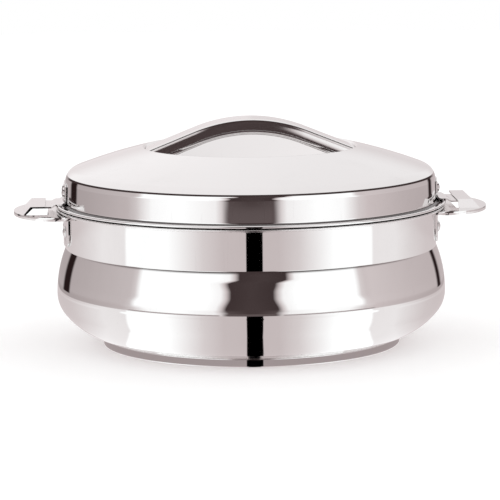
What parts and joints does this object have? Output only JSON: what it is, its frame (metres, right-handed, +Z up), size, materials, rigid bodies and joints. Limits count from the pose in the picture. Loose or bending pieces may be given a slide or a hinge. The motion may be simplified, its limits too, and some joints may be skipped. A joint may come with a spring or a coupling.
{
  "type": "insulated casserole",
  "caption": "Round double-walled steel serving pot with a domed twist-lock lid, a bridge grip in a dished recess and flat side handles.",
  "frame": {"origin": "centre of the pot's axis at the level of its foot, the surface it stands on", "axes": "+Z up along the pot's axis, +X through the right side handle, -Y towards the front"},
  "size_m": [0.316, 0.2612, 0.1508],
  "materials": {
    "polished_steel": "bright mirror polish",
    "plain_steel": "plain, as turned",
    "insulation_foam": "rigid foam, moulded in place",
    "plug_plastic": "matt black"
  },
  "bodies": {
    "pot": {"outer_shell": "polished_steel", "inner_bowl": "polished_steel", "base_plate": "polished_steel", "pot_fill_plug": "plug_plastic", "pot_foam": "insulation_foam", "left_handle": "polished_steel", "right_handle": "polished_steel", "left_handle_rivets": "polished_steel", "right_handle_rivets": "polished_steel"},
    "lid_inside": {"lid_liner": "polished_steel", "lid_fill_plug": "plug_plastic"},
    "lid": {"lid_cover": "polished_steel", "lid_foam": "insulation_foam", "left_ear": "polished_steel", "right_ear": "polished_steel", "left_ear_rivets": "polished_steel", "right_ear_rivets": "polished_steel", "grip_top": "polished_steel", "grip_bottom": "polished_steel", "grip_studs": "plain_steel", "grip_washers": "plain_steel", "grip_nuts": "plain_steel"}
  },
  "joints": [
    {"name": "lid_lift", "type": "slide", "parent": "pot", "child": "lid_inside", "axis": [0, 0, 1], "range_m": [0, 0.18]},
    {"name": "lid_turn", "type": "hinge", "parent": "lid_inside", "child": "lid", "pos_m": [0, 0, 0.1], "axis": [0, 0, 1], "range_deg": [0, 30]}
  ]
}
